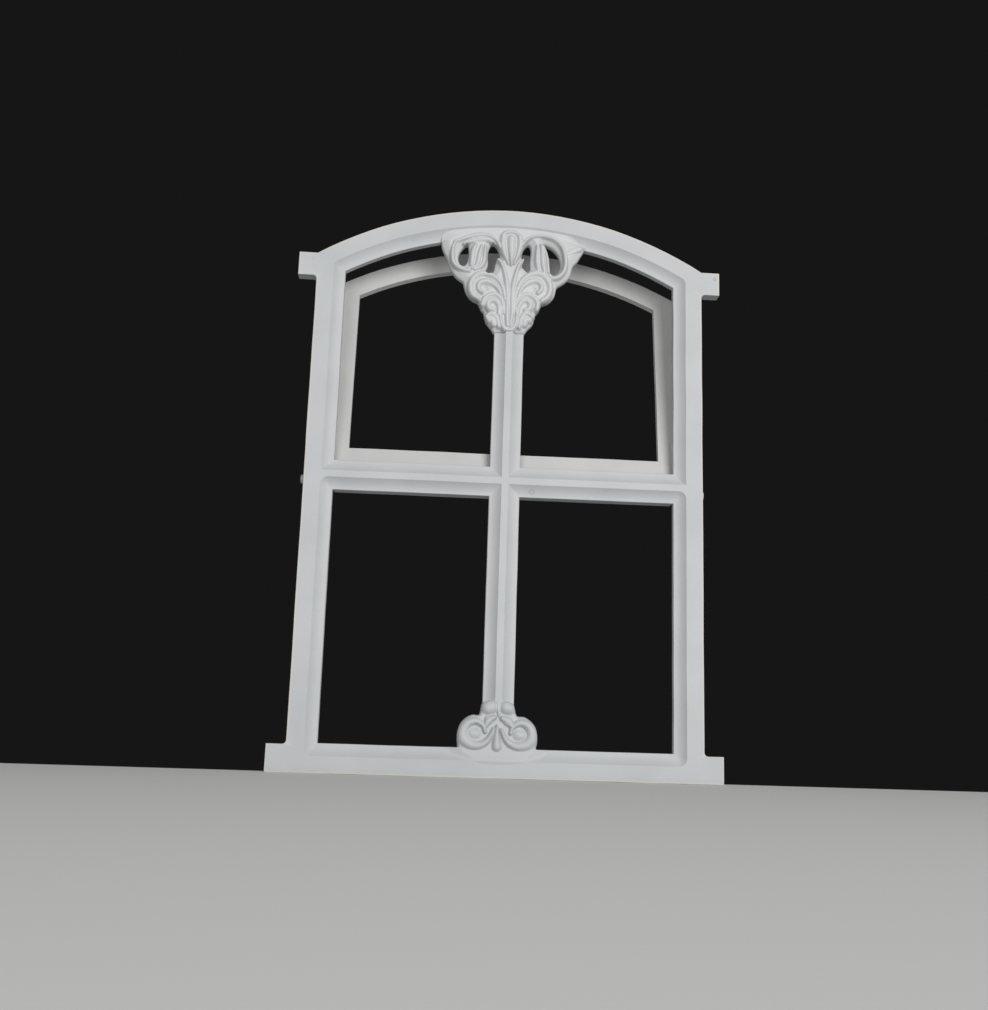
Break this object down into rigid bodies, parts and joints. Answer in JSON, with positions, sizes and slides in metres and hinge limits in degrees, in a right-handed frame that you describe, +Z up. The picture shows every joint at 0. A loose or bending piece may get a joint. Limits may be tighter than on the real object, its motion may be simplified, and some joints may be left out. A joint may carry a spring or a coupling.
{
  "type": "iron barn window",
  "caption": "Arched cast-iron barn window with a moulded frame, glazing cross, pierced acanthus crest, scrolled mullion foot and a tilted open vent sash.",
  "frame": {"origin": "centre of the sill's underside, at mid-depth of the frame", "axes": "+Z up the window, +X to the right as seen from the front, front face towards -Y"},
  "size_m": [0.547, 0.0812, 0.7259],
  "materials": {
    "frame_paint": "brushed white paint",
    "ornament_paint": "brushed white paint",
    "sash_paint": "brushed white paint",
    "pin_paint": "brushed white paint"
  },
  "bodies": {
    "root": {"window_frame": "frame_paint", "crest_ornament": "ornament_paint", "foot_ornament": "ornament_paint", "vent_sash": "sash_paint", "left_hinge_pin": "pin_paint", "right_hinge_pin": "pin_paint"}
  },
  "joints": []
}
